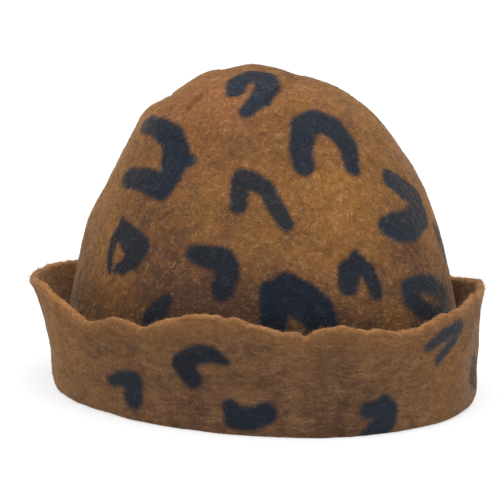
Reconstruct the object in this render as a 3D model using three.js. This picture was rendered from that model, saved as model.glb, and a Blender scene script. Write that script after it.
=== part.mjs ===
// A felted wool sauna hat: one seamless shell of felt with a domed crown, folded outwards and up
// into a deep, uneven turned-up brim. It stands on its fold, as it would on a table.
// Millimetres, +Z up. The origin is on the floor, at the middle of the hat's outline.
// The wearer's face is towards -Y; the oval crown is longest along Y.
import * as THREE from "three";

const FELT = 3; // thickness of the felt
const FOLD_RADIUS = 3.2; // of the felt's middle layer, where it turns up into the brim
const PRESSED = 0.4; // depth to which the fold is pressed flat by resting on it
const FLARE_POWER = 1.8; // over 1, so that the brim leans out mostly near its rim

// Level sections of the crown's middle layer, from the tip down to where the fold begins.
// right (+X), left (-X), front (-Y) and back (+Y) are measured from the Z axis.
const CROWN = [
  { height: 155.5, right: 0, left: 0, front: 0, back: 0 },
  { height: 150.5, right: 25, left: 28, front: 26, back: 28 },
  { height: 136.5, right: 50, left: 50, front: 51, back: 51 },
  { height: 114.5, right: 67, left: 62, front: 70, back: 66 },
  { height: 89.5, right: 79, left: 74, front: 85, back: 79 },
  { height: 63.5, right: 85, left: 82, front: 96, back: 88 },
  { height: 37.5, right: 90, left: 86.5, front: 101.5, back: 93.5 },
  { height: 12, right: 93.5, left: 88, front: 105, back: 96.5 },
];

// The brim's waves: how high the rim stands above the fold, and how far it leans out, at each
// bearing. Bearings are degrees from the front, growing towards the right.
const BRIM = [
  { bearing: 0, rise: 42.5, flare: 2 },
  { bearing: 10, rise: 46.2, flare: 1.5 },
  { bearing: 20, rise: 47, flare: 1.5 },
  { bearing: 30, rise: 50.8, flare: 1.5 },
  { bearing: 45, rise: 49.2, flare: 2 },
  { bearing: 58, rise: 46.6, flare: 2.5 },
  { bearing: 72, rise: 42.8, flare: 3 },
  { bearing: 100, rise: 40.5, flare: 4 },
  { bearing: 140, rise: 40, flare: 5 },
  { bearing: 180, rise: 42, flare: 7 },
  { bearing: 205, rise: 44.2, flare: 9.5 },
  { bearing: 230, rise: 46.5, flare: 10.5 },
  { bearing: 247, rise: 48.8, flare: 9.5 },
  { bearing: 254, rise: 46.2, flare: 8.8 },
  { bearing: 262, rise: 42.6, flare: 7.8 },
  { bearing: 270, rise: 38.4, flare: 7 },
  { bearing: 278, rise: 42.6, flare: 6 },
  { bearing: 287, rise: 42, flare: 5 },
  { bearing: 295, rise: 46.8, flare: 4.5 },
  { bearing: 303, rise: 50, flare: 4 },
  { bearing: 310, rise: 49.8, flare: 4 },
  { bearing: 317, rise: 46.4, flare: 3.5 },
  { bearing: 327, rise: 43.9, flare: 3 },
  { bearing: 336, rise: 46.8, flare: 2.5 },
  { bearing: 345, rise: 44.4, flare: 2 },
  { bearing: 353, rise: 42.4, flare: 2 },
];

// Soft hollows (push below 0) and swellings of the crown, fading over their reach.
const DENTS = [
  { bearing: 219, height: 142.5, reach: 11, push: -3.2 },
  { bearing: 222, height: 132, reach: 7, push: 1.2 },
  { bearing: 70, height: 152.5, reach: 11, push: -2.6 },
  { bearing: 171, height: 155, reach: 7, push: 0.7 },
  { bearing: 205, height: 152, reach: 8, push: -0.8 },
  { bearing: 228, height: 79, reach: 18, push: 1.4 },
  { bearing: 226, height: 97, reach: 9, push: -1 },
  { bearing: 50, height: 104, reach: 16, push: 1 },
  { bearing: 340, height: 118, reach: 20, push: -1.5 },
  { bearing: 285, height: 128, reach: 18, push: -1.4 },
  { bearing: 10, height: 75, reach: 24, push: -1.2 },
  { bearing: 120, height: 110, reach: 24, push: -1.8 },
  { bearing: 160, height: 135, reach: 18, push: 1.4 },
  { bearing: 185, height: 85, reach: 26, push: -1.6 },
];

// How finely the shell is faceted: lines around it, and rows along each line.
const AROUND = 80;
const CROWN_ROWS = 20;
const FOLD_ROWS = 8;
const BRIM_ROWS = 5;
const RIM_ROWS = 2;

const UP = new THREE.Vector3(0, 0, 1);
const HALVINGS = 30; // of the crown's table, when a height is looked up in it

// Catmull-Rom curve through four values, between the middle two.
function curve(before, from, to, after, share) {
  const square = share * share;
  return 0.5 * (2 * from + (to - before) * share +
    (2 * before - 5 * from + 4 * to - after) * square +
    (3 * from - before - 3 * to + after) * square * share);
}

// The crown's section at a place from 0, the tip, to the last row of the table. Above the tip the
// table goes on as its own mirror image, so that the tip is round.
function section(place) {
  const last = CROWN.length - 1;
  const row = Math.min(Math.floor(place), last - 1);
  const value = (name, index) => {
    if (index < 0) return name === "height" ? CROWN[1].height : -CROWN[1][name];
    if (index > last) return 2 * CROWN[last][name] - CROWN[last - 1][name];
    return CROWN[index][name];
  };
  const read = (name) => curve(value(name, row - 1), value(name, row),
    value(name, row + 1), value(name, row + 2), place - row);
  return Object.fromEntries(Object.keys(CROWN[0]).map((name) => [name, read(name)]));
}

// A point of the section's outline: four quarter ellipses, one between each two directions.
function outlinePoint({ height, right, left, front, back }, bearing) {
  const turn = THREE.MathUtils.degToRad(bearing);
  const across = Math.sin(turn) > 0 ? right : left;
  const along = Math.cos(turn) > 0 ? front : back;
  return new THREE.Vector3(across * Math.sin(turn), -along * Math.cos(turn), height);
}

// The level direction that points straight out of the section's outline.
function outwards({ right, left, front, back }, bearing) {
  const turn = THREE.MathUtils.degToRad(bearing);
  const across = Math.sin(turn) > 0 ? right : left;
  const along = Math.cos(turn) > 0 ? front : back;
  return new THREE.Vector3(Math.sin(turn) / across, -Math.cos(turn) / along, 0).normalize();
}

// The brim's rise and flare at a bearing, on a smooth closed curve through the table.
function brimAt(bearing) {
  const count = BRIM.length;
  const row = BRIM.findLastIndex((entry) => entry.bearing <= bearing);
  const entry = (index) => BRIM[(index + count) % count];
  const gap = (entry(row + 1).bearing - entry(row).bearing + 360) % 360;
  const share = (bearing - entry(row).bearing) / gap;
  const read = (name) => curve(entry(row - 1)[name], entry(row)[name],
    entry(row + 1)[name], entry(row + 2)[name], share);
  return { rise: read("rise"), flare: read("flare") };
}

// The place on the crown, as in section, that has a given height.
function placeAtHeight(height) {
  let low = 0;
  let high = CROWN.length - 1;
  for (let step = 0; step < HALVINGS; step++) {
    const middle = (low + high) / 2;
    if (section(middle).height > height) low = middle;
    else high = middle;
  }
  return low;
}

// The felt's middle layer along one bearing: down the crown, round the fold and up the brim.
function middleLine(bearing) {
  const line = [];
  for (let row = 0; row <= CROWN_ROWS; row++) {
    line.push(outlinePoint(section((row / CROWN_ROWS) * (CROWN.length - 1)), bearing));
  }
  const foot = CROWN.at(-1);
  const out = outwards(foot, bearing);
  const foldHeight = FELT / 2 + FOLD_RADIUS - PRESSED;
  const centre = outlinePoint(foot, bearing).setZ(foldHeight).addScaledVector(out, FOLD_RADIUS);
  for (let row = 0; row <= FOLD_ROWS; row++) {
    const angle = (Math.PI * row) / FOLD_ROWS;
    line.push(centre.clone()
      .addScaledVector(out, -FOLD_RADIUS * Math.cos(angle))
      .addScaledVector(UP, -FOLD_RADIUS * Math.sin(angle)));
  }
  const { rise, flare } = brimAt(bearing);
  const start = line.at(-1);
  for (let row = 1; row <= BRIM_ROWS; row++) {
    const share = row / BRIM_ROWS;
    line.push(start.clone()
      .addScaledVector(out, flare * share ** FLARE_POWER)
      .addScaledVector(UP, rise * share));
  }
  return line;
}

// The direction that points out of the crown's outer face, at each point of a grid of lines.
function normalsOf(lines) {
  return lines.map((line, index) => {
    const next = lines[(index + 1) % lines.length];
    const previous = lines[(index + lines.length - 1) % lines.length];
    return line.map((point, row) => {
      if (row === 0) return UP.clone();
      const down = line[Math.min(row + 1, line.length - 1)].clone().sub(line[row - 1]);
      return down.cross(next[row].clone().sub(previous[row])).normalize();
    });
  });
}

// Pushes the crown in and out along its normals, as the table of dents says.
function dent(lines) {
  const normals = normalsOf(lines);
  const centres = DENTS.map(({ bearing, height }) =>
    outlinePoint(section(placeAtHeight(height)), bearing));
  lines.forEach((line, index) => line.slice(0, CROWN_ROWS + 1).forEach((point, row) => {
    const push = DENTS.reduce((sum, dentRow, which) => sum +
      dentRow.push * Math.exp(-((point.distanceTo(centres[which]) / dentRow.reach) ** 2)), 0);
    point.addScaledVector(normals[index][row], push);
  }));
}

// One line round the whole wall: over the outer face from the tip to the rim, round the rim's
// edge, and back over the inner face to the tip.
function wallLine(line, normals) {
  const half = FELT / 2;
  const outer = line.map((point, row) => point.clone().addScaledVector(normals[row], half));
  const inner = line.map((point, row) => point.clone().addScaledVector(normals[row], -half));
  const rim = line.at(-1);
  const ahead = rim.clone().sub(line.at(-2)).normalize();
  const edge = [];
  for (let row = 1; row <= RIM_ROWS; row++) {
    const angle = (Math.PI * row) / (RIM_ROWS + 1);
    edge.push(rim.clone()
      .addScaledVector(normals.at(-1), half * Math.cos(angle))
      .addScaledVector(ahead, half * Math.sin(angle)));
  }
  return [...outer, ...edge, ...inner.reverse()];
}

// Joins the wall lines into one closed mesh whose two ends are the outer and the inner tip. The
// fold's underside is pressed flat on the floor.
function shellGeometry(walls) {
  const positions = [];
  const faces = [];
  const rows = walls[0].length - 2;
  const tipAbove = walls.length * rows;
  const tipBelow = tipAbove + 1;
  walls.forEach((wall) => wall.slice(1, -1).forEach((point) => {
    positions.push(point.x, point.y, Math.max(point.z, 0));
  }));
  positions.push(...walls[0][0].toArray(), ...walls[0].at(-1).toArray());
  for (let index = 0; index < walls.length; index++) {
    const here = index * rows;
    const next = ((index + 1) % walls.length) * rows;
    faces.push(tipAbove, here, next);
    faces.push(tipBelow, next + rows - 1, here + rows - 1);
    for (let row = 0; row < rows - 1; row++) {
      faces.push(here + row, here + row + 1, next + row + 1);
      faces.push(here + row, next + row + 1, next + row);
    }
  }
  const geometry = new THREE.BufferGeometry();
  geometry.setAttribute("position", new THREE.Float32BufferAttribute(positions, 3));
  geometry.setIndex(faces);
  geometry.computeVertexNormals();
  return geometry;
}

function feltHat() {
  const lines = Array.from({ length: AROUND }, (_, index) => middleLine((index * 360) / AROUND));
  dent(lines);
  const normals = normalsOf(lines);
  const walls = lines.map((line, index) => wallLine(line, normals[index]));
  const felt = new THREE.MeshStandardMaterial({ color: 0x8f5f36, roughness: 0.97, metalness: 0 });
  const mesh = new THREE.Mesh(shellGeometry(walls), felt);
  mesh.name = "felt_hat";
  return mesh;
}

// Stands the felt on the floor with the middle of its outline on the Z axis.
function centred(mesh) {
  mesh.geometry.computeBoundingBox();
  const middle = mesh.geometry.boundingBox.getCenter(new THREE.Vector3());
  mesh.position.set(-middle.x, -middle.y, 0);
  return mesh;
}

const hat = new THREE.Group();
hat.add(centred(feltHat()));

export default hat;
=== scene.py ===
import math
from collections import namedtuple

import bpy
import numpy as np
from mathutils import Matrix, Vector, noise


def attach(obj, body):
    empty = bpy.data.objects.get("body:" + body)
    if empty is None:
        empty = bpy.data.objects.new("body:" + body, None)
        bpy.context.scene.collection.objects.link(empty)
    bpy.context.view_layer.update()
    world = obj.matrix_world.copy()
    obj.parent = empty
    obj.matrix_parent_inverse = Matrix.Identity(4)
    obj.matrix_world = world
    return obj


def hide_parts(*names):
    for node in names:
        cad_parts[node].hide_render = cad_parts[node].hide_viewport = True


# A wet-felted wool sauna hat: one seamless shell with a domed crown, folded outwards and up into a
# wavy turned-up brim. Lengths are millimetres until they go to Blender, which works in metres.
# Bearings are degrees from the front, -Y, growing towards the right, +X.
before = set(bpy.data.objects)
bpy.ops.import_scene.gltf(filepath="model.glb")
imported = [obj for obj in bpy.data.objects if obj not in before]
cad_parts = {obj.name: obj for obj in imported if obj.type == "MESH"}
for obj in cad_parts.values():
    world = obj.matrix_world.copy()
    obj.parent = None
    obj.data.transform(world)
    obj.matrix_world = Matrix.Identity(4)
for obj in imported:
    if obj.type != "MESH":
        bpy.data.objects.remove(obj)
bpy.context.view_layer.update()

MM = 0.001
UP = np.array([0.0, 0.0, 1.0])

# Shape, as in the solid model.
FELT = 3.0
FOLD_RADIUS = 3.2
PRESSED = 0.4
FLARE_POWER = 1.8

Section = namedtuple("Section", "height right left front back")
CROWN = [
    Section(155.5, 0, 0, 0, 0),
    Section(150.5, 25, 28, 26, 28),
    Section(136.5, 50, 50, 51, 51),
    Section(114.5, 67, 62, 70, 66),
    Section(89.5, 79, 74, 85, 79),
    Section(63.5, 85, 82, 96, 88),
    Section(37.5, 90, 86.5, 101.5, 93.5),
    Section(12, 93.5, 88, 105, 96.5),
]

Wave = namedtuple("Wave", "bearing rise flare")
BRIM = [
    Wave(0, 42.5, 2),
    Wave(10, 46.2, 1.5),
    Wave(20, 47, 1.5),
    Wave(30, 50.8, 1.5),
    Wave(45, 49.2, 2),
    Wave(58, 46.6, 2.5),
    Wave(72, 42.8, 3),
    Wave(100, 40.5, 4),
    Wave(140, 40, 5),
    Wave(180, 42, 7),
    Wave(205, 44.2, 9.5),
    Wave(230, 46.5, 10.5),
    Wave(247, 48.8, 9.5),
    Wave(254, 46.2, 8.8),
    Wave(262, 42.6, 7.8),
    Wave(270, 38.4, 7),
    Wave(278, 42.6, 6),
    Wave(287, 42, 5),
    Wave(295, 46.8, 4.5),
    Wave(303, 50, 4),
    Wave(310, 49.8, 4),
    Wave(317, 46.4, 3.5),
    Wave(327, 43.9, 3),
    Wave(336, 46.8, 2.5),
    Wave(345, 44.4, 2),
    Wave(353, 42.4, 2),
]

# Dents, and swellings where the push is above 0.
Dent = namedtuple("Dent", "bearing height reach push")
DENTS = [
    Dent(219, 142.5, 11, -3.2),
    Dent(222, 132, 7, 1.2),
    Dent(70, 152.5, 11, -2.6),
    Dent(171, 155, 7, 0.7),
    Dent(205, 152, 8, -0.8),
    Dent(228, 79, 18, 1.4),
    Dent(226, 97, 9, -1),
    Dent(50, 104, 16, 1),
    Dent(340, 118, 20, -1.5),
    Dent(285, 128, 18, -1.4),
    Dent(10, 75, 24, -1.2),
    Dent(120, 110, 24, -1.8),
    Dent(160, 135, 18, 1.4),
    Dent(185, 85, 26, -1.6),
]

# How finely the felt is meshed: lines around it, and rows along each line.
AROUND = 420
CROWN_ROWS = 92
DROP_ROWS = 4
FOLD_ROWS = 10
BRIM_ROWS = 34
ROW_CROWDING = 1.4  # the brim's rows lie closer together towards the rim
RIM_ROWS = 4
LINING_STEP = 3  # the hollow's side of the crown keeps one row in this many
FINE_STEPS = 2000  # along the crown's curve, from which its rows are spaced evenly
FOLD_MIDDLE = CROWN_ROWS + DROP_ROWS + FOLD_ROWS // 2
CROWN_SIDE = slice(0, CROWN_ROWS + DROP_ROWS)  # the rows whose outer face shows
BRIM_SIDE = slice(FOLD_MIDDLE, None)  # the rows whose inner face shows

# Small notches (lift below 0) and lobes of the rim, which the solid model leaves out. A lean above
# 0 tips the rim outwards there.
Ruffle = namedtuple("Ruffle", "bearing half_width lift lean")
RUFFLES = [
    Ruffle(286.5, 4, -1.6, -0.8),
    Ruffle(291, 5, 0.5, 0.7),
    Ruffle(308, 5, -1.1, 0),
    Ruffle(314.5, 3, -0.7, -0.4),
    Ruffle(322.3, 2.2, -1.8, -0.8),
    Ruffle(325.5, 2.5, 0.8, 0.6),
    Ruffle(327.9, 2.2, -2.7, -0.8),
    Ruffle(335, 4, -0.8, 0),
    Ruffle(343.5, 5, -1.4, -0.7),
    Ruffle(348, 4, 0.8, 0.6),
    Ruffle(352.5, 3, -0.5, -0.7),
    Ruffle(358.8, 2.5, 0.1, -0.5),
    Ruffle(3, 3.5, 0.4, 0.6),
    Ruffle(14, 6, -0.6, -0.6),
    Ruffle(34, 8, -2.4, 0),
    Ruffle(52, 5, 0.8, 0.6),
    Ruffle(81, 4, -1.4, -0.7),
    Ruffle(97, 6, 0.9, 0.8),
    Ruffle(126, 4, -1.6, -0.6),
    Ruffle(149, 7, 0.8, 0.9),
    Ruffle(171, 3.5, -1.3, -0.8),
    Ruffle(194, 5, -0.9, -0.5),
    Ruffle(215, 5, -0.8, 0),
]
RUFFLE_POWER = 1.3  # below 2 its middle is sharp
RUFFLE_DEPTH = 11.0  # how far below the rim a ruffle fades away
RAG_SIZE = 3.3  # small unevenness of the rim: its length, its height and how far down it reaches
RAG_HEIGHT = 0.9
RAG_DEPTH = 3.0

# Lumps of the felted surface: their size and height.
LUMP_SIZE = 27.0
LUMP_HEIGHT = 0.7
PUCKER_SIZE = 10.0
PUCKER_HEIGHT = 0.35
WRINKLE_SIZES = (38.0, 38.0, 6.5)  # soft level wrinkles of the brim
WRINKLE_HEIGHT = 0.3
RIM_SWELLING = 1.3  # thickness at the rim, as a share of the felt's
SWELLING_DEPTH = 2.8

# Strokes of dark wool. Each point is given in millimetres across and up from the mark's middle,
# as seen from outside, with half of the stroke's width there.
Spot = namedtuple("Spot", "across up half")
SHAPES = {
    "hook": [
        [Spot(-9, 1.5, 4.2), Spot(-8, 9.5, 5), Spot(-2.5, 16.5, 5.6), Spot(3.2, 15, 6.2),
         Spot(6, 6.5, 5.2), Spot(2.6, -6, 4.3), Spot(-2.8, -14, 3.2)],
    ],
    "bracket": [
        [Spot(-25, 16, 4), Spot(-12, 14.5, 4.8), Spot(1, 10, 6), Spot(8, 1.5, 7),
         Spot(9, -7, 6.5), Spot(7, -14, 6.3), Spot(-7, -12, 5.3), Spot(-21.5, -12, 4.4)],
        [Spot(8, 0.5, 8.2), Spot(17, 1.2, 2)],
    ],
    "horseshoe": [
        [Spot(-12.5, -11, 4.6), Spot(-12.5, -3, 5), Spot(-7, 9, 6.2), Spot(0.5, 12, 6.2),
         Spot(7.5, 8, 6), Spot(12, -0.5, 5), Spot(11.5, -14, 3.6)],
    ],
    "cane": [
        [Spot(-8, -3, 3.4), Spot(-8.5, 3.5, 4), Spot(-7.5, 10.5, 4.6), Spot(-2.5, 9, 4.2),
         Spot(4, 6, 3.4), Spot(9, -2.5, 3.4), Spot(14.5, -10.5, 3)],
    ],
    "elbow": [
        [Spot(-2, 13.5, 4.6), Spot(5, 8, 6.2), Spot(14, 2, 6), Spot(12, -6, 6.8),
         Spot(-3, -10.5, 7), Spot(-13, -9, 6.6), Spot(-18.5, -7.5, 4.8)],
    ],
    "bow": [
        [Spot(-8.5, 11, 1.6), Spot(-5, 7, 4.4), Spot(2.5, 3, 6), Spot(11, 1.5, 4.7),
         Spot(7.5, -5, 4.8), Spot(2, -10, 3), Spot(-3, -11.5, 1.8)],
        [Spot(-6.5, 7, 4), Spot(-10.5, 1, 2.8), Spot(-10, -6, 1.8), Spot(-7.5, -12, 1.5)],
    ],
    "seven": [
        [Spot(-12.5, 6.5, 3.6), Spot(-5, 5.5, 5), Spot(2.5, 4.5, 5), Spot(5.5, -1, 5.2),
         Spot(3.5, -9, 5)],
    ],
    "tear": [
        [Spot(5, 4, 2.4), Spot(2, -0.5, 4.3), Spot(-5, -6, 3)],
    ],
    "saddle": [
        [Spot(-12, -9.5, 5.8), Spot(-12, 1, 6.2), Spot(-6.5, 6, 6.4), Spot(0, 0.5, 8.4),
         Spot(7, -4, 7.4), Spot(10, -11, 6.8)],
        [Spot(-14, 5, 4), Spot(-8, 4, 6)],
    ],
    "arch": [
        [Spot(-6, -4, 4.6), Spot(-4.5, 2.5, 5), Spot(0.5, 5.5, 4.5), Spot(5.5, 1.5, 3.6),
         Spot(8, -8, 3.2)],
        [Spot(-2, 6, 3), Spot(0, 10, 1.8)],
    ],
    "ring": [
        [Spot(-13, 6, 4), Spot(-3.5, 7, 3.5), Spot(7, 4.5, 4.4), Spot(18.5, -2.5, 5.2),
         Spot(18, -9.5, 4.6), Spot(4.5, -10, 3.6), Spot(-7, -5, 3.8), Spot(-14, 1, 4),
         Spot(-13, 6, 4)],
    ],
    "comma": [
        [Spot(-11.5, 1.5, 2), Spot(-3, 4, 3.4), Spot(3.5, 3.5, 4.8), Spot(3, -4, 5.2)],
    ],
    "claw": [
        [Spot(14.5, 3, 1), Spot(8, 6, 3.4), Spot(-0.5, 5.5, 3.9), Spot(-7, 0, 4.8),
         Spot(-2.5, -6.5, 4.2)],
    ],
    "heart": [
        [Spot(-9.5, 3.5, 3.2), Spot(-7, -1, 5.2), Spot(0.5, -1.5, 5), Spot(7, 1.5, 4.6)],
    ],
    "paw": [
        [Spot(0.5, 8, 2), Spot(2, 2, 5.5), Spot(1.5, -3.5, 5), Spot(-8, -8.5, 2.4)],
        [Spot(-8, 3, 3), Spot(0, 4, 4.4)],
    ],
    "caret": [
        [Spot(-16, 0, 1.7), Spot(-4, 4, 2.8), Spot(9, 6.5, 2.6)],
        [Spot(11, 5.5, 2), Spot(5, 0.5, 2.2), Spot(-8, -7.5, 1.4)],
    ],
    "wedge": [
        [Spot(-5, -2, 4.5), Spot(5, -4, 5.5)],
        [Spot(-5, 5, 2), Spot(4, 1, 4)],
    ],
}

# Where the marks lie: by the bearing and height of their middle, turned anticlockwise. A pale mark
# has faded to grey, and in a worn one the brown wool shows through.
Mark = namedtuple("Mark", "shape face bearing height turn pale worn")
MARKS = [
    Mark("hook", "crown", 316, 149, 0, 0.15, 0),
    Mark("bracket", "crown", 273, 118.5, 0, 0.1, 0),
    Mark("horseshoe", "crown", 348.7, 128.5, 0, 0.1, 0.05),
    Mark("cane", "crown", 315.7, 105, 0, 0, 0.2),
    Mark("elbow", "crown", 18, 98.5, 0, 0.2, 0),
    Mark("tear", "crown", 38, 77, 60, 0.15, 0),
    Mark("bow", "crown", 269.5, 78, 0, 0.05, 0.1),
    Mark("seven", "crown", 303, 73, 0, 0, 0.1),
    Mark("tear", "crown", 285.7, 52.5, 0, 0.05, 0.1),
    Mark("saddle", "crown", 328.4, 61.5, 0, 0, 0),
    Mark("arch", "crown", 348.4, 71.5, 0, 0, 0.1),
    Mark("ring", "crown", 16.4, 57, 0, 0.15, 0),
    Mark("cane", "crown", 84, 114, 160, 0.1, 0.05),
    Mark("saddle", "crown", 74, 66, 25, 0, 0.1),
    Mark("arch", "crown", 107, 85, 200, 0.15, 0),
    Mark("horseshoe", "crown", 128, 124, 15, 0, 0.15),
    Mark("elbow", "crown", 134, 85, 200, 0.1, 0),
    Mark("ring", "crown", 112, 58, 10, 0, 0.05),
    Mark("hook", "crown", 179, 142, 70, 0.15, 0),
    Mark("tear", "crown", 158, 61, 90, 0.1, 0.1),
    Mark("bracket", "crown", 170, 104, 170, 0, 0.1),
    Mark("seven", "crown", 211, 108, 60, 0.15, 0),
    Mark("bow", "crown", 192, 66, 185, 0.05, 0.05),
    Mark("arch", "crown", 214, 82, 80, 0, 0.15),
    Mark("comma", "brim", 281, 15.5, 0, 0.2, 0.05),
    Mark("claw", "brim", 301, 31, 0, 0, 0.1),
    Mark("heart", "brim", 314.2, 10.4, 0, 0.1, 0),
    Mark("paw", "brim", 349.7, 9.3, 0, 0.25, 0),
    Mark("caret", "brim", 12.6, 38, 0, 0.55, 0),
    Mark("wedge", "brim", 34, 19, 0, 0, 0),
    Mark("heart", "brim", 72, 31, 20, 0.15, 0.05),
    Mark("comma", "brim", 92, 15, 190, 0.05, 0.1),
    Mark("claw", "brim", 113, 27, 150, 0.2, 0),
    Mark("paw", "brim", 137, 12, 0, 0, 0.1),
    Mark("caret", "brim", 158, 29, 30, 0.3, 0),
    Mark("comma", "brim", 180, 14, 40, 0.1, 0.05),
    Mark("heart", "brim", 199, 31, 200, 0.05, 0.1),
    Mark("claw", "brim", 217, 15, 10, 0.15, 0),
]
NO_MARK = -6.0  # mark depth, in millimetres, of felt that is far from any mark
FACING = 0.2  # places turned further from a mark's middle than this cosine are on the far side

# Short sharp creases, and ridges where the push is above 0. Each is a line across and up from its
# middle, as for the marks.
Crease = namedtuple("Crease", "face bearing height push width line")
CREASES = [
    Crease("crown", 345, 151, -2.2, 1.5, [Spot(10, 9, 0), Spot(-3, -3, 0), Spot(-14, -13, 0)]),
    Crease("crown", 347, 149, 0.9, 2.6, [Spot(11, 8, 0), Spot(-2, -4, 0), Spot(-12, -13, 0)]),
    Crease("crown", 339, 143, 0.8, 2.4, [Spot(4, 6, 0), Spot(-6, -6, 0)]),
    Crease("crown", 225, 140.5, -3, 3.6, [Spot(22, 4.5, 0), Spot(0, 0, 0), Spot(-24, -4, 0)]),
    Crease("crown", 274, 143, -2.6, 1.4, [Spot(0.5, 4, 0), Spot(-0.5, -2, 0), Spot(-1, -6, 0)]),
    Crease("crown", 150, 128, -0.8, 1.8, [Spot(-8, 4, 0), Spot(6, 0, 0)]),
    Crease("crown", 205, 96, -0.6, 1.8, [Spot(-6, -6, 0), Spot(5, 5, 0)]),
    Crease("brim", 256, 40, 1.2, 1.6, [Spot(-1, 8, 0), Spot(-2, 1, 0), Spot(-2.5, -5, 0)]),
    Crease("brim", 267, 39, 1.1, 1.5, [Spot(-1, 6, 0), Spot(1, -1, 0), Spot(5.5, -7, 0)]),
    Crease("brim", 281, 39, 1.0, 1.5, [Spot(-5, 6, 0), Spot(0, 4, 0), Spot(4, -1, 0)]),
    Crease("brim", 294, 47, -0.5, 1.8, [Spot(-2, 2, 0), Spot(1, -5, 0)]),
    Crease("brim", 302, 49, -0.6, 1.8, [Spot(0, 1, 0), Spot(1, -8, 0)]),
    Crease("brim", 312, 48, -0.6, 1.8, [Spot(1, 2, 0), Spot(-1, -7, 0)]),
    Crease("brim", 357, 41, -0.5, 1.6, [Spot(-1, 3, 0), Spot(1, -5, 0)]),
    Crease("brim", 28, 40, 0.8, 2.5, [Spot(10, 6, 0), Spot(0, 0.5, 0), Spot(-10, -6, 0)]),
    Crease("brim", 83, 40, -0.6, 1.8, [Spot(0, 5, 0), Spot(2, -6, 0)]),
    Crease("brim", 128, 36, -0.6, 1.6, [Spot(0, 4, 0), Spot(-2, -6, 0)]),
    Crease("brim", 172, 38, 0.6, 1.6, [Spot(1, 4, 0), Spot(-1, -7, 0)]),
    Crease("brim", 221, 43, -0.6, 1.8, [Spot(0, 5, 0), Spot(2, -5, 0)]),
]

# Bumps and dents too small for the solid model.
SMALL_DENTS = [
    Dent(97, 151, 3.5, -1),
    Dent(88, 149, 6, 0.5),
    Dent(195, 150, 6, 0.9),
    Dent(185, 152.5, 5, -0.6),
    Dent(226, 94, 5, -0.8),
    Dent(226, 101, 5, 0.5),
]

# Patches where the felt is redder, and lighter or darker (light below 0), than elsewhere.
# Some of this lightness is painted: the dark patches low on the crown and at the brim's foot are
# painted shade, and the light ones on the crown's foot at the front and at the brim's left end are
# painted light.
Patch = namedtuple("Patch", "face bearing height reach warm light")
PATCHES = [
    Patch("crown", 290, 142, 26, 0.45, 0.35),
    Patch("crown", 265, 142, 12, 0.35, 0),
    Patch("crown", 345, 100, 26, 0, 0.5),
    Patch("crown", 312, 128, 14, 0, -0.4),
    Patch("crown", 265, 55, 26, 0, 0.5),
    Patch("crown", 305, 48, 24, 0, -0.8),
    Patch("crown", 12, 78, 20, 0, -0.3),
    Patch("crown", 358, 50, 12, 0, 0.2),
    Patch("crown", 2, 47, 9, 0, 0.6),
    Patch("crown", 280, 84, 20, 0, -0.45),
    Patch("crown", 120, 100, 40, 0.3, 0.2),
    Patch("crown", 200, 120, 35, 0, 0.4),
    Patch("brim", 252, 32, 30, 0, 0.65),
    Patch("brim", 300, 6, 26, 0.1, -0.4),
    Patch("brim", 335, 8, 30, 0, -0.45),
    Patch("brim", 10, 30, 26, 0, 0.3),
    Patch("brim", 45, 22, 30, 0, -0.4),
    Patch("brim", 110, 12, 40, 0.2, -0.4),
    Patch("brim", 180, 34, 40, 0, 0.3),
]
TROUGH_SHADE = -0.6  # lightness of the crown's foot behind the brim: painted shade
TROUGH_SHADE_HEIGHTS = (45.0, 85.0)  # all of the painted shade up to the first height, none from the second on
BACK_WARM = 0.25  # of the lining, and of the brim's side that faces the crown
# BACK_LIGHT darkens these: painted shade on the brim's side in the trough, and the same on the
# lining
BACK_LIGHT = -0.65
RIM_BAND = 5.0  # millimetres over which the painted highlight along the rim fades

# Loose fibres that lie on the felt. Each has five points: its start, three round its middle and
# its tip.
FIBRES = 32000
FIBRE_LENGTHS = (1.5, 4.0)
FIBRE_THICKNESS = 0.12
FIBRE_SEED = 1
RIM_FIBRES = 2.0  # on the rim, how many more there are for each one elsewhere
FIBRE_LIFT = 0.22  # how far tips stand off the felt at most
RIM_FIBRE_LIFT = 0.5  # the same, on the rim
FIBRE_BEND = 0.2  # sideways, as a share of the length
LEVEL_SPREAD = 0.4  # of the brim's fibres about the level, in radians
RIM_SPREAD = 1.2  # the same, on the rim
FIBRE_POINTS = 5
FIBRE_START, FIBRE_TIP = 0, 4
FIBRE_SIDES = [(1, 2), (2, 3), (3, 1)]
FIBRE_MARGIN = 0.1  # share of a fibre's cell in the unwrapped map that stays free at each side


def between(before, start, end, after, share):
    """Catmull-Rom curve through four values, between the middle two."""
    square = share * share
    return 0.5 * (
        2 * start
        + (end - before) * share
        + (2 * before - 5 * start + 4 * end - after) * square
        + (3 * start - before - 3 * end + after) * square * share
    )


def crown_sections(places):
    """Sections at places from 0, the tip, to the last row of the table. Above the tip the table
    goes on as its own mirror image, so that the tip is round."""
    table = np.array(CROWN, float)
    above = table[1] * (1, -1, -1, -1, -1)
    below = 2 * table[-1] - table[-2]
    rows = np.vstack([above, table, below])
    row = np.clip(np.floor(places).astype(int), 0, len(table) - 2)
    share = (places - row)[:, None]
    return between(rows[row], rows[row + 1], rows[row + 2], rows[row + 3], share)


def brim_waves(bearings):
    """Rise and flare at each bearing, on a smooth closed curve through the table."""
    table = np.array(BRIM, float)
    count = len(table)
    starts = np.append(table[:, 0], table[0, 0] + 360)
    row = np.clip(np.searchsorted(starts, bearings, side="right") - 1, 0, count - 1)
    share = ((bearings - starts[row]) / (starts[row + 1] - starts[row]))[:, None]
    values = table[:, 1:]
    picked = [values[(row + step) % count] for step in (-1, 0, 1, 2)]
    return between(*picked, share).T


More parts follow.
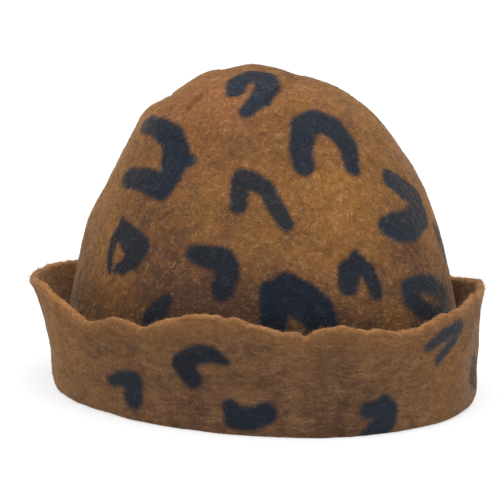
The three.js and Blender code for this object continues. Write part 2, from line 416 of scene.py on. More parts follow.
def outline(sections, bearings):
    """Points of the sections' outlines, four quarter ellipses each: (bearing, section, xyz)."""
    turn = np.radians(bearings)[:, None]
    height, right, left, front, back = sections.T
    across = np.where(np.sin(turn) > 0, right, left)
    along = np.where(np.cos(turn) > 0, front, back)
    level = np.broadcast_to(height, across.shape)
    return np.stack([across * np.sin(turn), -along * np.cos(turn), level], -1)


def outwards(bearings):
    """The level directions that point straight out of the crown's foot."""
    turn = np.radians(bearings)
    foot = CROWN[-1]
    across = np.where(np.sin(turn) > 0, foot.right, foot.left)
    along = np.where(np.cos(turn) > 0, foot.front, foot.back)
    out = np.stack([np.sin(turn) / across, -np.cos(turn) / along, 0 * turn], -1)
    return out / np.linalg.norm(out, axis=1, keepdims=True)


def even_places():
    """Places on the crown, evenly spaced along its wall."""
    fine = np.linspace(0, len(CROWN) - 1, FINE_STEPS)
    lines = outline(crown_sections(fine), np.arange(0, 360, 90))
    steps = np.linalg.norm(np.diff(lines, axis=1), axis=2).mean(0)
    run = np.append(0, np.cumsum(steps))
    return np.interp(np.linspace(0, run[-1], CROWN_ROWS + 1), run, fine)


def middle_layer(bearings):
    """The felt's middle layer, line by line: down the crown, round the fold and up the brim."""
    crown = outline(crown_sections(even_places()), bearings)
    out = outwards(bearings)[:, None]
    fold_height = FELT / 2 + FOLD_RADIUS - PRESSED
    foot = crown[:, -1:]
    drop_share = np.linspace(0, 1, DROP_ROWS + 1)[1:-1, None]
    drop = foot + (fold_height - foot[..., 2:]) * drop_share * UP
    centre = foot + (fold_height - foot[..., 2:]) * UP + FOLD_RADIUS * out
    angle = np.linspace(0, np.pi, FOLD_ROWS + 1)[:, None]
    fold = centre - FOLD_RADIUS * (np.cos(angle) * out + np.sin(angle) * UP)
    rise, flare = brim_waves(bearings)[:, :, None, None]
    share = 1 - np.linspace(1, 0, BRIM_ROWS + 1)[1:, None] ** ROW_CROWDING
    brim = fold[:, -1:] + flare * share**FLARE_POWER * out + rise * share * UP
    return np.concatenate([crown, drop, fold, brim], 1)


def normals_of(grid):
    """The direction out of the crown's outer face, at each point of a grid of lines."""
    beside = np.roll(grid, -1, 0) - np.roll(grid, 1, 0)
    down = np.gradient(grid, axis=1)
    normals = np.cross(down, beside)
    normals[:, 0] = UP
    return normals / np.linalg.norm(normals, axis=2, keepdims=True)


def dent(grid, dents):
    """Pushes the crown in and out along its normals, as a table of dents says."""
    normals = normals_of(grid)
    heights = crown_sections(even_places())[:, 0]
    for row in dents:
        place = np.interp(-row.height, -heights, even_places())
        centre = outline(crown_sections(np.array([place])), np.array([row.bearing]))[0, 0]
        away = np.linalg.norm(grid - centre, axis=2)
        push = row.push * np.exp(-((away / row.reach) ** 2))
        push[:, CROWN_ROWS + 1:] = 0
        grid = grid + push[..., None] * normals
    return grid


def ruffled(grid, bearings):
    """Lifts and leans the rim as the table of ruffles says, less and less below it."""
    rim = grid[:, -1]
    below = np.linalg.norm(grid - rim[:, None], axis=2)
    fade = np.exp(-((below / RUFFLE_DEPTH) ** 2))
    fade[:, :CROWN_ROWS + DROP_ROWS + FOLD_ROWS] = 0
    reach = np.linalg.norm(rim[:, :2], axis=1)
    shift = np.zeros_like(rim)
    for row in RUFFLES:
        turn = (bearings - row.bearing + 180) % 360 - 180
        away = abs(np.radians(turn) * reach / row.half_width)
        share = np.exp(-(away ** RUFFLE_POWER))[:, None]
        shift += share * (row.lift * UP + row.lean * outwards(bearings))
    rag = RAG_HEIGHT * noise_at(rim, RAG_SIZE)
    rag_fade = np.exp(-((below / RAG_DEPTH) ** 2)) * (fade > 0)
    return grid + fade[..., None] * shift[:, None] + (rag_fade * rag[:, None])[..., None] * UP


def noise_at(points, sizes):
    """Smooth noise, about -1 to 1, whose lumps have the given size along each axis."""
    scaled = points.reshape(-1, 3) / sizes
    values = [noise.noise(Vector(place)) for place in scaled]
    return np.array(values).reshape(points.shape[:-1])


def local_axes(normal):
    """Level direction across the felt, to the right as seen from outside, and the one up it."""
    across = np.cross(UP, normal)
    across /= np.linalg.norm(across)
    return across, np.cross(normal, across)


def stroke_depth(stroke, across, up):
    """How deep points lie inside a stroke, in millimetres; below 0 they are outside."""
    depth = np.full(across.shape, NO_MARK)
    for start, end in zip(stroke, stroke[1:]):
        run = np.array([end.across - start.across, end.up - start.up])
        share = ((across - start.across) * run[0] + (up - start.up) * run[1]) / (run @ run)
        share = np.clip(share, 0, 1)
        away = np.hypot(across - start.across - share * run[0], up - start.up - share * run[1])
        depth = np.maximum(depth, start.half + share * (end.half - start.half) - away)
    return depth


def on_face(points, normals, bearing, height, turn):
    """Millimetres across and up from the place with a bearing and height, for a face's points. The
    far side of the hat gets no numbers."""
    line = round(bearing * AROUND / 360) % AROUND
    row = np.argmin(abs(points[line, :, 2] - height))
    across, up = local_axes(normals[line, row])
    away = points - points[line, row]
    side, rise = away @ across, away @ up
    angle = math.radians(turn)
    far = normals @ normals[line, row] < FACING
    side[far] = np.nan
    return (
        math.cos(angle) * side + math.sin(angle) * rise,
        math.cos(angle) * rise - math.sin(angle) * side,
    )


def marks_on(face, points, normals):
    """Depth inside the dark marks of one face, in millimetres, and how pale and worn they are."""
    depth = np.full(points.shape[:2], NO_MARK)
    pale = np.zeros(depth.shape)
    worn = np.zeros(depth.shape)
    for mark in MARKS:
        if mark.face == face:
            place = on_face(points, normals, mark.bearing, mark.height, mark.turn)
            strokes = [stroke_depth(stroke, *place) for stroke in SHAPES[mark.shape]]
            deepest = np.max(strokes, axis=0)
            deeper = deepest > depth
            depth[deeper] = deepest[deeper]
            pale[deeper] = mark.pale
            worn[deeper] = mark.worn
    return depth, pale, worn


def creases_on(face, points, normals):
    """How far the creases push one face outwards, in millimetres."""
    push = np.zeros(points.shape[:2])
    for crease in CREASES:
        if crease.face == face:
            place = on_face(points, normals, crease.bearing, crease.height, 0)
            away = -np.nan_to_num(stroke_depth(crease.line, *place), nan=NO_MARK)
            push += crease.push * np.exp(-((away / crease.width) ** 2))
    return push


def patches_on(face, points, normals):
    """Warmth and lightness of one face, from the table of patches. On the crown, painted shade also
    darkens the foot behind the brim.
    """
    warm = np.zeros(points.shape[:2])
    light = np.zeros(points.shape[:2])
    for patch in PATCHES:
        if patch.face == face:
            across, up = on_face(points, normals, patch.bearing, patch.height, 0)
            share = np.nan_to_num(np.exp(-(across**2 + up**2) / patch.reach**2))
            warm += patch.warm * share
            light += patch.light * share
    if face == "crown":
        # painted shade on the crown's foot, behind the brim
        light += TROUGH_SHADE * np.interp(points[..., 2], TROUGH_SHADE_HEIGHTS, (1, 0))
    return warm, light


# Rows over the felt's faces, its two tips, the values at its points, and how many rows show.
Felt = namedtuple("Felt", "walls tip_above tip_below values seen")


def stacked(of_outer, of_edge, of_inner):
    """Rows over the outer face, round the edge and back over the inner face."""
    brim = of_inner[:, :CROWN_ROWS:-1]
    lining = of_inner[:, CROWN_ROWS:0:-LINING_STEP]
    return np.concatenate([of_outer[:, 1:], of_edge, brim, lining], 1)


def face_values(face, points, normals, own):
    """The marks' and patches' values over one face. Outside its own rows it is darker felt: painted
    shade where it faces into the trough, and the same on the hollow's lining.
    """
    elsewhere = {
        "mark": NO_MARK,
        "pale": 0.0,
        "worn": 0.0,
        "warm": BACK_WARM,
        # painted shade in the trough, and on the lining
        "light": BACK_LIGHT,
    }
    part = (face, points[:, own], normals[:, own])
    found = [*marks_on(*part), *patches_on(*part)]
    values = {}
    for (name, plain), value in zip(elsewhere.items(), found):
        values[name] = np.full(points.shape[:2], plain)
        values[name][:, own] = value
    return values


def values_on(outer, inner, normals, below):
    """The values of the points of the outer and the inner face, by their names."""
    outer_values = face_values("crown", outer, normals, CROWN_SIDE)
    inner_values = face_values("brim", inner, -normals, BRIM_SIDE)
    for values in (outer_values, inner_values):
        values["rim"] = np.exp(-((below / RIM_BAND) ** 2))
        values["brim"] = np.zeros(below.shape)
    inner_values["brim"][:, BRIM_SIDE] = 1
    return outer_values, inner_values


def plain_faces(grid, normals, below):
    """The felt's outer and inner faces without relief. The rim is a little thicker."""
    swelling = (RIM_SWELLING - 1) * np.exp(-((below / SWELLING_DEPTH) ** 2))
    half = (FELT / 2 * (1 + swelling))[..., None]
    return grid + half * normals, grid - half * normals


def reliefs_on(outer, inner, normals):
    """How far lumps, wrinkles and creases push the outer and the inner face out of the felt."""
    lumps = LUMP_HEIGHT * noise_at(outer, LUMP_SIZE) + PUCKER_HEIGHT * noise_at(outer, PUCKER_SIZE)
    on_outer, on_inner = lumps.copy(), -lumps
    crown, brim = outer[:, CROWN_SIDE], inner[:, BRIM_SIDE]
    on_outer[:, CROWN_SIDE] += creases_on("crown", crown, normals[:, CROWN_SIDE])
    on_inner[:, BRIM_SIDE] += WRINKLE_HEIGHT * noise_at(brim, WRINKLE_SIZES)
    on_inner[:, BRIM_SIDE] += creases_on("brim", brim, -normals[:, BRIM_SIDE])
    return on_outer, on_inner


def round_edge(grid, outer, inner):
    """Rows over the rim's edge, from the outer face to the inner one."""
    rim = (outer[:, -1:] + inner[:, -1:]) / 2
    rim_half = (outer[:, -1:] - inner[:, -1:]) / 2
    ahead = grid[:, -1:] - grid[:, -2:-1]
    ahead /= np.linalg.norm(ahead, axis=2, keepdims=True)
    ahead *= np.linalg.norm(rim_half, axis=2, keepdims=True)
    angle = np.linspace(0, np.pi, RIM_ROWS + 2)[1:-1, None]
    return rim + rim_half * np.cos(angle) + ahead * np.sin(angle)


def felt_shell():
    """Both faces of the felt and its rim as one grid of rows, with the values of each point."""
    bearings = np.arange(AROUND) * 360 / AROUND
    grid = ruffled(dent(middle_layer(bearings), DENTS + SMALL_DENTS), bearings)
    normals = normals_of(grid)
    below = np.linalg.norm(grid - grid[:, -1:], axis=2)
    below[:, :CROWN_ROWS] = np.inf
    outer, inner = plain_faces(grid, normals, below)
    outer_values, inner_values = values_on(outer, inner, normals, below)
    outer_relief, inner_relief = reliefs_on(outer, inner, normals)
    outer += outer_relief[..., None] * normals
    inner -= inner_relief[..., None] * normals

    walls = stacked(outer, round_edge(grid, outer, inner), inner)
    values = {}
    for name, value in outer_values.items():
        on_edge = inner_values[name][:, -1:].repeat(RIM_ROWS, 1)
        values[name] = stacked(value, on_edge, inner_values[name])
    tips = np.array([outer[0, 0], inner[0, 0]])

    # The hat's middle goes to the origin, and nothing of it goes below the ground.
    middle = (walls.min((0, 1)) + walls.max((0, 1))) / 2 * (1, 1, 0)
    ground = (-np.inf, -np.inf, 0)
    seen = outer.shape[1] + RIM_ROWS + inner.shape[1] - FOLD_MIDDLE
    return Felt(np.maximum(walls - middle, ground), *(tips - middle), values, seen)


def write_values(mesh, values):
    """Gives each point of a mesh its values, by their names."""
    for name, value in values.items():
        attribute = mesh.attributes.new(name, "FLOAT", "POINT")
        attribute.data.foreach_set("value", value.astype(np.float32))


def write_map(mesh, places):
    """Gives the corners of a mesh's faces their places in its unwrapped map."""
    layer = mesh.uv_layers.new(name="OFBake")
    layer.uv.foreach_set("vector", places.astype(np.float32).ravel())


def shell_faces(around, rows):
    """Corners of the shell's faces: four for each cell of its grid, and three round each tip."""
    tip_above, tip_below = around * rows, around * rows + 1
    line = np.arange(around)[:, None]
    here = line * rows + np.arange(rows - 1)
    beside = (line + 1) % around * rows + np.arange(rows - 1)
    quads = np.stack([here, here + 1, beside + 1, beside], -1).reshape(-1, 4)
    first = (line * rows)[:, 0]
    last = first + rows - 1
    cap_above = np.stack([np.full(around, tip_above), first, np.roll(first, -1)], -1)
    cap_below = np.stack([np.full(around, tip_below), np.roll(last, -1), last], -1)
    return [*quads.tolist(), *cap_above.tolist(), *cap_below.tolist()]


def shell_map(around, rows):
    """Places of these corners on the unwrapped felt: once round it across, from tip to tip up."""
    line, row = np.meshgrid(np.arange(around), np.arange(rows - 1), indexing="ij")
    starts = np.repeat(np.arange(around), 3)
    corner_line = np.concatenate([
        np.stack([line, line, line + 1, line + 1], -1).ravel(),
        starts + np.tile([0.5, 0, 1], around),
        starts + np.tile([0.5, 1, 0], around),
    ])
    corner_row = np.concatenate([
        np.stack([row, row + 1, row + 1, row], -1).ravel(),
        np.tile([-1, 0, 0], around),
        np.tile([rows, rows - 1, rows - 1], around),
    ])
    return np.stack([corner_line / around, (corner_row + 1) / (rows + 1)], -1)


def shell_mesh(name, felt):
    """A closed smooth mesh of the felt's grid, with its values as attributes of the points."""
    around, rows = felt.walls.shape[:2]
    points = np.vstack([felt.walls.reshape(-1, 3), felt.tip_above, felt.tip_below])
    mesh = bpy.data.meshes.new(name)
    mesh.from_pydata(points * MM, [], shell_faces(around, rows))
    mesh.shade_smooth()
    at_tips = {"mark": NO_MARK}
    values = {}
    for key, value in felt.values.items():
        values[key] = np.append(value.ravel(), [at_tips.get(key, 0.0)] * 2)
    write_values(mesh, values)
    write_map(mesh, shell_map(around, rows))
    return mesh


def fibre_roots(felt, random):
    """Where fibres begin on the felt that shows: their places, the felt's level direction and its
    normal there, and the line and row of its grid."""
    grid = felt.walls[:, :felt.seen]
    beside = (np.roll(grid, -1, 0) - grid)[:, :-1]
    down = grid[:, 1:] - grid[:, :-1]
    normals = np.cross(down, beside)
    area = np.linalg.norm(normals, axis=2)
    crowd = area * (1 + RIM_FIBRES * felt.values["rim"][:, :area.shape[1]])
    picked = random.choice(area.size, FIBRES, p=(crowd / crowd.sum()).ravel())
    line, row = np.unravel_index(picked, area.shape)
    share = random.random((2, FIBRES, 1))
    root = grid[line, row] + share[0] * beside[line, row] + share[1] * down[line, row]
    level = beside[line, row] / np.linalg.norm(beside[line, row], axis=1, keepdims=True)
    normal = normals[line, row] / area[line, row, None]
    return root, level, normal, line, row


def fibre_angles(on_brim, on_rim, random):
    """How far fibres turn from the level: in any way on the crown, mostly little on the brim."""
    freely = random.uniform(-np.pi, np.pi, FIBRES)
    spread = LEVEL_SPREAD + (RIM_SPREAD - LEVEL_SPREAD) * on_rim
    mostly_level = random.normal(0, spread) + np.pi * (freely > 0)
    return np.where(on_brim > 0, mostly_level, freely)[:, None]


def fibres_on(felt, random):
    """Thin bent spindles that lie on the felt, above the ground: their points, and the line and row
    of the felt's grid where each begins."""
    root, level, normal, line, row = fibre_roots(felt, random)
    on_brim, on_rim = felt.values["brim"][line, row], felt.values["rim"][line, row]
    angle = fibre_angles(on_brim, on_rim, random)
    ahead = np.cos(angle) * level + np.sin(angle) * np.cross(normal, level)
    side = np.cross(normal, ahead)
    length = random.uniform(*FIBRE_LENGTHS, (FIBRES, 1))
    bend = random.uniform(-FIBRE_BEND, FIBRE_BEND, (FIBRES, 1)) * length
    highest = FIBRE_LIFT + (RIM_FIBRE_LIFT - FIBRE_LIFT) * on_rim
    lift = (highest * random.random(FIBRES))[:, None]
    radius = FIBRE_THICKNESS / 2
    start = root - radius * normal
    middle = root + length / 2 * ahead + bend * side + (radius + lift / 2) * normal
    tip = root + length * ahead + lift * normal
    ways = [math.cos(turn) * normal + math.sin(turn) * side for turn in np.radians([0, 120, 240])]
    points = np.stack([start, *[middle + radius * way for way in ways], tip], 1)
    points[..., 2] -= np.minimum(points[..., 2].min(1, keepdims=True), 0)
    return points, line, row


def fibre_map():
    """Places of the fibres' corners in their unwrapped map. Each fibre has a cell of its own, and
    lies flat across it."""
    cells = math.ceil(math.sqrt(FIBRES))
    flat = []
    for end in (0.0, 1.0):
        for third in range(3):
            turned = (third, third + 1) if end == 0 else (third + 1, third)
            flat += [(end, (third + 0.5) / 3), (0.5, turned[0] / 3), (0.5, turned[1] / 3)]
    cell = np.stack(np.divmod(np.arange(FIBRES), cells)[::-1], -1)[:, None]
    places = (cell + FIBRE_MARGIN + (1 - 2 * FIBRE_MARGIN) * np.array(flat)) / cells
    return places.reshape(-1, 2)


def fibre_mesh(name, felt):
    """Loose wool fibres, closed at both ends, each with the felt's values from where it begins."""
    random = np.random.default_rng(FIBRE_SEED)
    points, line, row = fibres_on(felt, random)
    at_start = [(FIBRE_START, first, second) for first, second in FIBRE_SIDES]
    at_tip = [(FIBRE_TIP, second, first) for first, second in FIBRE_SIDES]
    faces = np.arange(FIBRES)[:, None, None] * FIBRE_POINTS + np.array(at_start + at_tip)
    mesh = bpy.data.meshes.new(name)
    mesh.from_pydata(points.reshape(-1, 3) * MM, [], faces.reshape(-1, 3).tolist())
    mesh.shade_smooth()
    values = {key: value[line, row].repeat(FIBRE_POINTS) for key, value in felt.values.items()}
    values["loose"] = random.random(FIBRES).repeat(FIBRE_POINTS)
    write_values(mesh, values)
    write_map(mesh, fibre_map())
    return mesh


def add_piece(name, mesh, material):
    """Puts a piece of the hat in the scene. It rides on the root and takes the felt's material."""
    mesh.materials.append(material)
    piece = bpy.data.objects.new(name, mesh)
    bpy.context.scene.collection.objects.link(piece)
    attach(piece, "root")
    return piece


# Numbers of a Mix node's sockets for colours.
MIX_SHARE, MIX_FIRST, MIX_SECOND, MIX_COLOUR = 0, 6, 7, 2

# The wool's noises: size of the lumps in millimetres, detail, how bent they are, and seed.
Noise = namedtuple("Noise", "size detail distortion seed")
NOISES = {
    "blotch": Noise(30, 2, 0, 3),
    "mottle": Noise(8, 3, 0.5, 11),
    "nap": Noise(2.6, 2, 1.2, 5),
    "grain": Noise(0.8, 1, 0, 8),
}
STREAK = Noise(1.2, 2, 0.6, 0)  # level streaks of the brim
STREAK_STRETCH = (8, 8, 1)
SWAY = Noise(16, 2, 0, 17)  # how the streaks go up and down
SWAY_HEIGHT = 6  # millimetres
PLAIN_STRETCH = (1, 1, 1)

# Curly lines, as of wool fibres that lie in the felt. A curl is where a noise is near 0, broken
# into short pieces by another noise.
Curl = namedtuple("Curl", "size seed share")
CURLS = [Curl(3.2, 21, 1), Curl(1.9, 34, 0.8)]
CURL_WIDTH = 0.16  # how far the noise is from 0 at a curl's edge
CURL_BEND = 0.5
CURL_BREAKS = 1.4  # size of the breaks, as a share of the curls' size
CURL_BREAK_SEED = 9  # added to the curls' seed
CURL_ENDS = (-0.15, 0.25)  # a curl fades in between these values of the breaks' noise

# How much each noise counts: in the wool's tone, in the frayed edges of the marks in millimetres,
# in the faded places of the marks, in light and dark fibres, and in millimetres of relief.
TONE = {"blotch": 0.5, "mottle": 0.6}
FRAY = {"nap": 1.2, "grain": 0.8, "curls": -0.5}
FADING = {"mottle": 1, "nap": 0.6}
FINE = {"nap": 0.5, "grain": 0.25}
RELIEF = {"mottle": 0.35, "nap": 0.24, "grain": 0.04, "curls": 0.08, "streak": 0.22}

# Between which values each colour comes in.
DUSKY_TONES = (0.1, -0.7)
GOLDEN_TONES = (-0.1, 0.7)
INSIDE_MARK = (-2.5, 0.7)
FADED_MARK = (0.0, 1.6)
LIGHT_HAIRS = (0.0, 2.0)
DEEP_GAPS = (0.0, -1.2)

BRIM_LESS_GOLDEN = -0.4
MOTTLE_WARMTH = 0.15
RIM_HIGHLIGHT_SHARE = 0.36  # of the painted highlight's brown at the rim's edge
CURL_LEVEL = -0.3  # brings the curls to 0 on average
CURL_STRENGTH = 0.3
BRIM_CURL_STRENGTH = -0.2  # less on the brim
STREAK_STRENGTH = 0.6
FINE_IN_MARK = -0.55  # the fine light and dark is weaker in marks and on the brim
FINE_ON_BRIM = -0.15
FINE_IN_LIGHT = 0.35  # and stronger in light patches
LOOSE_SHARE = 0.5  # of the hair's colour in the lightest loose fibre
LOOSE_IN_MARK = -0.42  # less of it in marks


class Graph:
    """The nodes of one material or world."""

    def __init__(self, owner):
        owner.use_nodes = True
        self.tree = owner.node_tree
        self.tree.nodes.clear()

    def node(self, kind, inputs, **settings):
        """Adds a node. An input is a value or another node's output."""
        made = self.tree.nodes.new(kind)
        for name, value in settings.items():
            setattr(made, name, value)
        for key, value in inputs.items():
            if isinstance(value, bpy.types.NodeSocket):
                self.tree.links.new(value, made.inputs[key])
            else:
                made.inputs[key].default_value = value
        return made

    def math(self, operation, *values):
        made = self.node("ShaderNodeMath", dict(enumerate(values)), operation=operation)
        return made.outputs[0]

    def add(self, *values):
        total = values[0]
        for value in values[1:]:
            total = self.math("ADD", total, value)
        return total

    def times(self, value, factor):
        return self.math("MULTIPLY", value, factor)

    def shares(self, named, factors):
        """The named values, each times its factor."""
        return [self.times(named[name], factor) for name, factor in factors.items()]

    def ramp(self, value, low, high, shape="SMOOTHSTEP"):
        """0 up to low and 1 from high on; low may be the larger."""
        inputs = {"Value": value, "From Min": low, "From Max": high}
        made = self.node("ShaderNodeMapRange", inputs, interpolation_type=shape)
        return made.outputs["Result"]

    def blend(self, share, first, second):
        """Between two colours."""
        inputs = {MIX_SHARE: share, MIX_FIRST: first, MIX_SECOND: second}
        return self.node("ShaderNodeMix", inputs, data_type="RGBA").outputs[MIX_COLOUR]

    def value(self, name):
        """A value that the mesh holds for each point."""
        made = self.node("ShaderNodeAttribute", {}, attribute_name=name)
        return made.outputs["Fac"]

    def place(self):
        """Where a point is, in metres."""
        return self.node("ShaderNodeTexCoord", {}).outputs["Object"]

    def raised(self, place, height):
        """A place moved up by some millimetres."""
        step = self.node("ShaderNodeCombineXYZ", {"Z": self.times(height, MM)})
        inputs = {0: place, 1: step.outputs[0]}
        return self.node("ShaderNodeVectorMath", inputs, operation="ADD").outputs[0]

    def noise(self, place, kind, stretch=PLAIN_STRETCH):
        """Smooth noise, -1 to 1 at most, with lumps of the kind's size times the stretch."""
        scale = [1 / (kind.size * MM * factor) for factor in stretch]
        seed = (kind.seed, kind.seed, kind.seed)
        inputs = {"Vector": place, "Scale": scale, "Location": seed}
        moved = self.node("ShaderNodeMapping", inputs).outputs[0]
        lumps = {"Scale": 1, "Detail": kind.detail, "Distortion": kind.distortion}
        made = self.node("ShaderNodeTexNoise", {"Vector": moved, **lumps})
        return self.times(self.add(made.outputs["Fac"], -0.5), 2.0)

    def curls(self, place, curl):
        """Short thin curly lines, 0 to 1."""
        wave = self.noise(place, Noise(curl.size, 1, CURL_BEND, curl.seed))
        line = self.ramp(self.math("ABSOLUTE", wave), CURL_WIDTH, 0.0)
        breaks = Noise(CURL_BREAKS * curl.size, 0, 0, curl.seed + CURL_BREAK_SEED)
        return self.math("MULTIPLY", line, self.ramp(self.noise(place, breaks), *CURL_ENDS))


def srgb(red, green, blue):
    """A colour from a photo's values, 0 to 255, as Blender takes it, by the sRGB formula."""
    shares = np.array([red, green, blue]) / 255
    linear = np.where(shares <= 0.04045, shares / 12.92, ((shares + 0.055) / 1.055) ** 2.4)
    return (*linear, 1.0)


CROWN_BROWN = srgb(112, 77, 46)
GOLD_BROWN = srgb(132, 90, 47)
DUSKY_BROWN = srgb(79, 56, 44)
RED_BROWN = srgb(118, 74, 54)
BRIM_BROWN = srgb(110, 80, 56)
RIM_HIGHLIGHT_BROWN = srgb(162, 112, 64)
HAIR_BROWN = srgb(198, 154, 108)
DEEP_BROWN = srgb(46, 26, 12)
CHARCOAL = srgb(27, 33, 43)
FADED_CHARCOAL = srgb(60, 66, 72)
WORN_CHARCOAL = srgb(66, 58, 46)
HAIR_GREY = srgb(112, 118, 124)


def wool_noises(graph):
    """The noises of the felt, by their names."""
    place = graph.place()
    sway = graph.times(graph.noise(place, SWAY), SWAY_HEIGHT)
    streaks = graph.noise(graph.raised(place, sway), STREAK, STREAK_STRETCH)
    found = {name: graph.noise(place, kind) for name, kind in NOISES.items()}
    curls = [graph.times(graph.curls(place, curl), curl.share) for curl in CURLS]
    found["curls"] = graph.add(*curls)
    found["streak"] = graph.math("MULTIPLY", streaks, graph.value("brim"))
    return found


def brown_wool(graph, noises):
    """The brown ground: duskier, golden or redder in patches, some of which are painted shade and
    light, with a painted highlight along the rim.
    """
    brim = graph.value("brim")
    tone = graph.add(*graph.shares(noises, TONE), graph.value("light"))
    middle = graph.blend(brim, CROWN_BROWN, BRIM_BROWN)
    dusky = graph.blend(graph.ramp(tone, *DUSKY_TONES), middle, DUSKY_BROWN)
    less_golden = graph.add(1.0, graph.times(brim, BRIM_LESS_GOLDEN))
    golden = graph.math("MULTIPLY", graph.ramp(tone, *GOLDEN_TONES), less_golden)
    gold = graph.blend(golden, dusky, GOLD_BROWN)
    warmth = graph.add(graph.value("warm"), graph.times(noises["mottle"], MOTTLE_WARMTH))
    redder = graph.blend(warmth, gold, RED_BROWN)
    # painted highlight along the rim
    return graph.blend(graph.times(graph.value("rim"), RIM_HIGHLIGHT_SHARE), redder, RIM_HIGHLIGHT_BROWN)


def dark_wool(graph, noises):
    """The marks' charcoal, faded to grey or worn through to brown in places."""
    faded = graph.ramp(graph.add(*graph.shares(noises, FADING)), *FADED_MARK)
    grey = graph.blend(graph.add(faded, graph.value("pale")), CHARCOAL, FADED_CHARCOAL)
    return graph.blend(graph.value("worn"), grey, WORN_CHARCOAL)


def fine_fibres(graph, noises, inside):
    """Light fibres above 0 and dark gaps below it."""
    brim = graph.value("brim")
    curl_strength = graph.add(CURL_STRENGTH, graph.times(brim, BRIM_CURL_STRENGTH))
    curls = graph.math("MULTIPLY", graph.add(noises["curls"], CURL_LEVEL), curl_strength)
    streak = graph.times(noises["streak"], STREAK_STRENGTH)
    fine = graph.add(*graph.shares(noises, FINE), curls, streak)
    strength = graph.add(
        1.0,
        graph.times(inside, FINE_IN_MARK),
        graph.times(brim, FINE_ON_BRIM),
        graph.times(graph.value("light"), FINE_IN_LIGHT),
    )
    return graph.math("MULTIPLY", fine, strength)


def felt_colour(graph, noises):
    """Brown wool with the frayed dark marks in it, and light and dark fibres over both."""
    frayed = graph.add(graph.value("mark"), *graph.shares(noises, FRAY))
    inside = graph.ramp(frayed, *INSIDE_MARK)
    wool = graph.blend(inside, brown_wool(graph, noises), dark_wool(graph, noises))
    fine = fine_fibres(graph, noises, inside)
    hair = graph.blend(inside, HAIR_BROWN, HAIR_GREY)
    loose_share = graph.add(LOOSE_SHARE, graph.times(inside, LOOSE_IN_MARK))
    loose = graph.math("MULTIPLY", graph.value("loose"), loose_share)
    hair_share = graph.add(graph.ramp(fine, *LIGHT_HAIRS, "LINEAR"), loose)
    hairy = graph.blend(hair_share, wool, hair)
    return graph.blend(graph.ramp(fine, *DEEP_GAPS, "LINEAR"), hairy, DEEP_BROWN)


def felt_material():
    material = bpy.data.materials.new("wool_felt")
    graph = Graph(material)
    noises = wool_noises(graph)
    height = graph.add(*graph.shares(noises, RELIEF))
    bump = graph.node("ShaderNodeBump", {"Height": height, "Distance": MM})
    surface = graph.node("ShaderNodeBsdfPrincipled", {
        "Base Color": felt_colour(graph, noises),
        "Roughness": 0.95,
        "Specular IOR Level": 0.06,
        "Sheen Weight": 0.3,
        "Sheen Roughness": 0.3,
        "Sheen Tint": (0.9, 0.62, 0.4, 1.0),
        "Normal": bump.outputs[0],
    })
    graph.node("ShaderNodeOutputMaterial", {"Surface": surface.outputs[0]})
    return material


# The picture: the hat on a white ground, seen from its front left, a little from above.
CAMERA_AT = (-950.5, -1130.0, 340.5)
AIM = (-5.2, 2.4, 67.8)
LENS = 224.0  # for a sensor 36 millimetres wide
ROLL = 1.0  # degrees
GROUND_SIZE = 40.0  # metres
GROUND_WHITE = 0.25
GROUND_GLOW = 0.68  # light that the ground gives off, which keeps its shadows faint
SKY_ZENITH = 2.8  # strength straight above, on top of the horizon's
SKY_FOCUS = 2.5  # power of the fall from there to the horizon
SKY_HORIZON = 0.1
SUN_STRENGTH = 1.7
SUN_SPREAD = 60.0  # degrees across, for soft light
SUN_TILT = (14.0, -12.0)  # degrees off the vertical, to the front and to the left


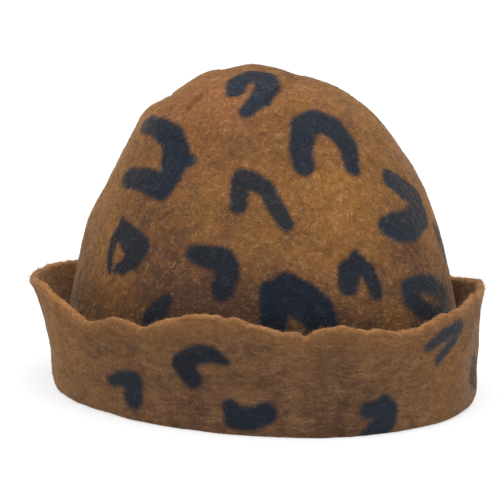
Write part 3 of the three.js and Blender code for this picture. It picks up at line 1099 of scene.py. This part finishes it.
def put_ground():
    edge = GROUND_SIZE / 2
    mesh = bpy.data.meshes.new("ground")
    corners = [(-edge, -edge, 0), (edge, -edge, 0), (edge, edge, 0), (-edge, edge, 0)]
    mesh.from_pydata(corners, [], [(0, 1, 2, 3)])
    paper = bpy.data.materials.new("white_ground")
    graph = Graph(paper)
    matt = graph.node("ShaderNodeBsdfPrincipled", {
        "Base Color": (GROUND_WHITE, GROUND_WHITE, GROUND_WHITE, 1.0),
        "Roughness": 1.0,
        "Specular IOR Level": 0.0,
        "Emission Color": (1.0, 1.0, 1.0, 1.0),
        "Emission Strength": GROUND_GLOW,
    })
    graph.node("ShaderNodeOutputMaterial", {"Surface": matt.outputs[0]})
    mesh.materials.append(paper)
    ground = bpy.data.objects.new("ground", mesh)
    bpy.context.scene.collection.objects.link(ground)


def put_light():
    scene = bpy.context.scene
    scene.world = bpy.data.worlds.new("white_room")
    graph = Graph(scene.world)
    direction = graph.node("ShaderNodeTexCoord", {}).outputs["Generated"]
    height = graph.node("ShaderNodeSeparateXYZ", {0: direction}).outputs["Z"]
    above = graph.math("MAXIMUM", height, 0.0)
    sky = graph.add(graph.times(graph.math("POWER", above, SKY_FOCUS), SKY_ZENITH), SKY_HORIZON)
    white = graph.node("ShaderNodeBackground", {"Strength": sky, "Color": (1, 1, 1, 1)})
    graph.node("ShaderNodeOutputWorld", {"Surface": white.outputs[0]})
    lamp = bpy.data.lights.new("soft_top_light", "SUN")
    lamp.energy = SUN_STRENGTH
    lamp.angle = math.radians(SUN_SPREAD)
    top_light = bpy.data.objects.new("soft_top_light", lamp)
    forwards, sideways = SUN_TILT
    top_light.rotation_euler = (math.radians(forwards), math.radians(sideways), 0)
    scene.collection.objects.link(top_light)


def put_camera():
    scene = bpy.context.scene
    data = bpy.data.cameras.new("camera")
    data.lens = LENS
    camera = bpy.data.objects.new("camera", data)
    place, aim = Vector(CAMERA_AT) * MM, Vector(AIM) * MM
    look = (aim - place).to_track_quat("-Z", "Y").to_matrix().to_4x4()
    turn = Matrix.Rotation(math.radians(ROLL), 4, "Z")
    camera.matrix_world = Matrix.Translation(place) @ look @ turn
    scene.collection.objects.link(camera)
    scene.camera = camera


wool_felt = felt_material()
shell = felt_shell()
hat = add_piece("felt", shell_mesh("felt", shell), wool_felt)
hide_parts("felt_hat")
add_piece("loose_fibres", fibre_mesh("loose_fibres", shell), wool_felt)
put_ground()
put_light()
put_camera()
bpy.context.scene.view_settings.view_transform = "Standard"
